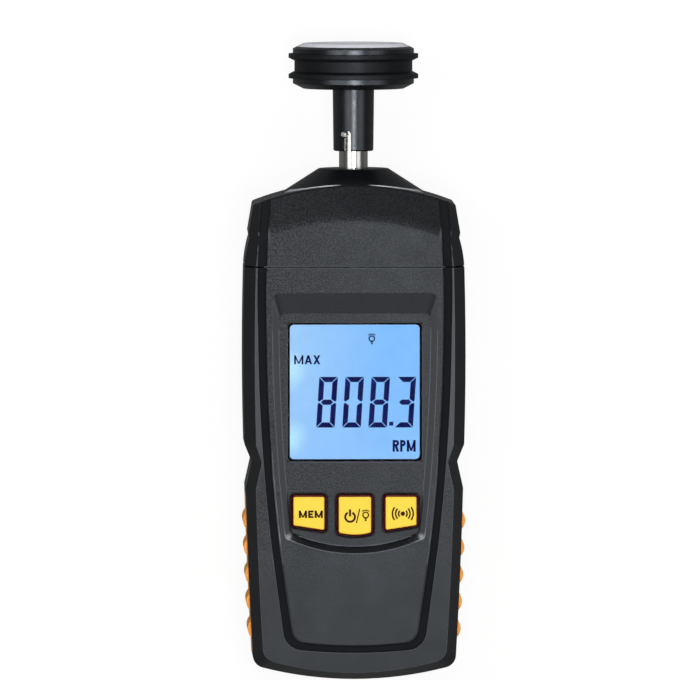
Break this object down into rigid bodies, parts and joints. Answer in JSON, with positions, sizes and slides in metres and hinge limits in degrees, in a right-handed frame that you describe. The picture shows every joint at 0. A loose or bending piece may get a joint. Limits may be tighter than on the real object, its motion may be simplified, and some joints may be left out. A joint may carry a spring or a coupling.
{
  "type": "contact tachometer",
  "caption": "Handheld contact tachometer: waisted black housing with a lit display, yellow keys and orange side grips, and a grooved surface-speed wheel on a bayonet shaft.",
  "frame": {"origin": "on the back plane, under the middle of the whole length with the wheel fitted", "axes": "+X to the reader's right across the display, +Y along the shaft towards the wheel, +Z out of the display; the instrument lies on its back"},
  "size_m": [0.06, 0.171, 0.038],
  "materials": {
    "housing": "textured black ABS with smooth edge bands",
    "nose": "glossy black ABS",
    "grip": "orange soft-touch elastomer",
    "window": "clear acrylic",
    "display": "liquid-crystal display, lit pale blue",
    "light_guide": "milky acrylic",
    "contact_strip": "conductive rubber",
    "board": "green circuit board",
    "chip": "moulded package",
    "key": "glossy yellow",
    "steel": "bright stainless steel",
    "screw": "zinc plated",
    "bronze": "sintered bronze",
    "brass": "turned brass",
    "spring_leaf": "nickel plated",
    "cell": "plain grey sleeve",
    "disc": "black acetal",
    "hub": "satin black moulding",
    "tyre": "black rubber"
  },
  "bodies": {
    "case": {"front_case": "housing", "rear_case": "housing", "head_cap": "housing", "grip_left": "grip", "grip_right": "grip", "display_window": "window", "lcd_panel": "display", "backlight_panel": "light_guide", "lcd_connector": "contact_strip", "main_board": "board", "main_chip": "chip", "button_switches": "chip", "case_screws": "screw", "board_screws": "screw", "battery_contacts": "spring_leaf", "battery_cell_left": "cell", "battery_cell_middle": "cell", "battery_cell_right": "cell", "bearing_housing": "brass", "front_bush": "bronze", "rear_bush": "bronze", "sensor_board": "board", "photo_interrupter": "chip"},
    "rotor": {"measuring_shaft": "steel", "bayonet_pin": "steel", "thrust_washer": "steel", "retaining_ring": "screw", "encoder_disc": "disc"},
    "adaptor": {"wheel_hub": "hub", "wheel_tyre": "tyre"},
    "memory_key": {"memory_button": "key"},
    "power_key": {"power_button": "key"},
    "measuring_key": {"measuring_button": "key"},
    "cover": {"battery_cover": "housing"}
  },
  "joints": [
    {"name": "shaft_spin", "type": "hinge", "parent": "case", "child": "rotor", "pos_m": [0, 0.04, 0.019], "axis": [0, 1, 0], "continuous": true},
    {"name": "bayonet_twist", "type": "hinge", "parent": "rotor", "child": "adaptor", "pos_m": [0, 0.06107, 0.019], "axis": [0, 1, 0], "range_deg": [-14.8, 0]},
    {"name": "memory_press", "type": "slide", "parent": "case", "child": "memory_key", "axis": [0, 0, -1], "range_m": [0, 0.0005], "stiffness_N_per_m": 600},
    {"name": "power_press", "type": "slide", "parent": "case", "child": "power_key", "axis": [0, 0, -1], "range_m": [0, 0.0005], "stiffness_N_per_m": 600},
    {"name": "measuring_press", "type": "slide", "parent": "case", "child": "measuring_key", "axis": [0, 0, -1], "range_m": [0, 0.0005], "stiffness_N_per_m": 600},
    {"name": "cover_slide", "type": "slide", "parent": "case", "child": "cover", "axis": [0, -1, 0], "range_m": [0, 0.045]}
  ]
}
